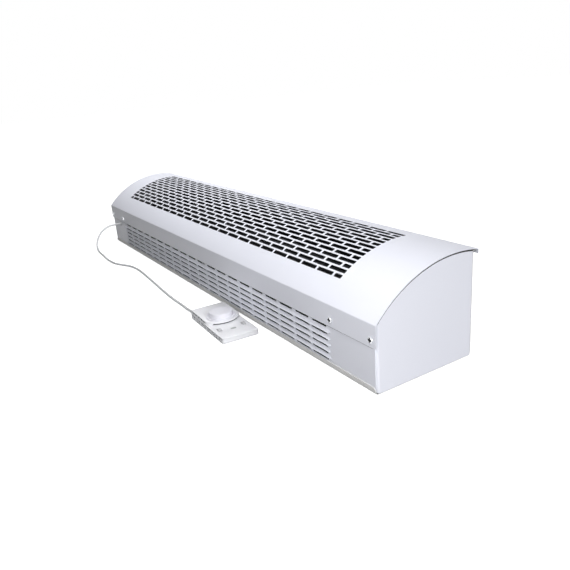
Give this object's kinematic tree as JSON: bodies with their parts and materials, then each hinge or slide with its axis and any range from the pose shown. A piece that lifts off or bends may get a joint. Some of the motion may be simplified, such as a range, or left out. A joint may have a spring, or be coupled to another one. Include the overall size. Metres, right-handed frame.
{
  "type": "air curtain",
  "caption": "Wall-mounted heated air curtain: curved slotted intake cover, louvred outlet, cross-flow fan and a wired thermostat controller.",
  "frame": {"origin": "centre of the four wall fixing holes, on the back face of the casing", "axes": "+X along the casing towards the motor end, -Y towards the air outlet, +Z out of the wall towards the intake grille"},
  "size_m": [1.07, 0.2708, 0.16],
  "materials": {
    "white_coat": "satin powder coat",
    "tray_coat": "satin powder coat",
    "zinc_steel": "zinc plated",
    "inner_coat": "black coated sheet",
    "fan_coat": "black coated aluminium",
    "rubber": "matte",
    "bronze": "sintered",
    "motor_steel": "laminated",
    "bell_metal": "die cast",
    "copper": "enamelled wire",
    "capacitor_case": "moulded",
    "heater_steel": "oxidised steel",
    "ceramic": "glazed ceramic",
    "cutout_body": "phenolic",
    "terminal_nylon": "moulded nylon",
    "relay_case": "moulded",
    "loom_black": "sleeving",
    "gland_nylon": "moulded nylon",
    "cord_sheath": "soft sheath",
    "controller_white": "moulded, semi-gloss",
    "dial_white": "moulded, semi-gloss",
    "slider_grey": "moulded",
    "lens": "clear moulded",
    "board": "glass fibre laminate"
  },
  "bodies": {
    "root": {"base_tray": "tray_coat", "end_plate_left": "white_coat", "end_plate_right": "white_coat", "intake_cover": "white_coat", "outlet_panel": "white_coat", "cover_screws": "zinc_steel", "end_plate_screws": "zinc_steel", "bulkhead_left": "inner_coat", "bulkhead_right": "inner_coat", "scroll_guide": "inner_coat", "vortex_tongue": "inner_coat", "idle_bearing": "bronze", "bearing_ring": "rubber", "bearing_clamp": "zinc_steel", "clamp_screws": "zinc_steel", "motor_core": "motor_steel", "motor_windings": "copper", "motor_bell_front": "bell_metal", "motor_bell_rear": "bell_metal", "motor_bushes": "bronze", "motor_rings": "rubber", "motor_bracket": "zinc_steel", "bracket_screws": "zinc_steel", "motor_capacitor": "capacitor_case", "capacitor_clip": "zinc_steel", "heater_elements": "heater_steel", "heater_bushes": "ceramic", "heater_tabs": "zinc_steel", "heater_support": "zinc_steel", "thermal_cutout": "cutout_body", "electrics_plate": "inner_coat", "terminal_block": "terminal_nylon", "terminal_screws": "zinc_steel", "heater_relay": "relay_case", "earth_stud": "bronze", "wiring_loom": "loom_black", "supply_gland": "gland_nylon", "gland_nut": "gland_nylon", "gland_cap": "gland_nylon", "control_grommet": "cord_sheath", "control_cord": "cord_sheath", "control_base": "controller_white", "control_cover": "controller_white", "control_bush": "cord_sheath", "thermostat_body": "relay_case", "switch_bodies": "relay_case", "power_lens": "lens", "control_board": "board", "control_screws": "zinc_steel"},
    "fan": {"fan_blades": "fan_coat", "fan_discs": "fan_coat", "fan_hub": "rubber", "idle_shaft": "zinc_steel", "motor_armature": "motor_steel", "motor_shaft": "zinc_steel"},
    "dial": {"dial_knob": "dial_white", "dial_stem": "zinc_steel"},
    "fan_slider": {"fan_switch": "slider_grey"},
    "heat_slider": {"heat_switch": "slider_grey"}
  },
  "joints": [
    {"name": "fan_spin", "type": "hinge", "parent": "root", "child": "fan", "pos_m": [0, 0.022, 0.084], "axis": [1, 0, 0], "continuous": true},
    {"name": "dial_turn", "type": "hinge", "parent": "root", "child": "dial", "pos_m": [0.18801, -0.13158, 0.015], "axis": [0, 0, 1], "range_deg": [-135, 135]},
    {"name": "fan_slide", "type": "slide", "parent": "root", "child": "fan_slider", "axis": [0.9986, -0.0523, 0], "range_m": [-0.0025, 0.0025]},
    {"name": "heat_slide", "type": "slide", "parent": "root", "child": "heat_slider", "axis": [0.9986, -0.0523, 0], "range_m": [-0.0025, 0.0025]}
  ]
}
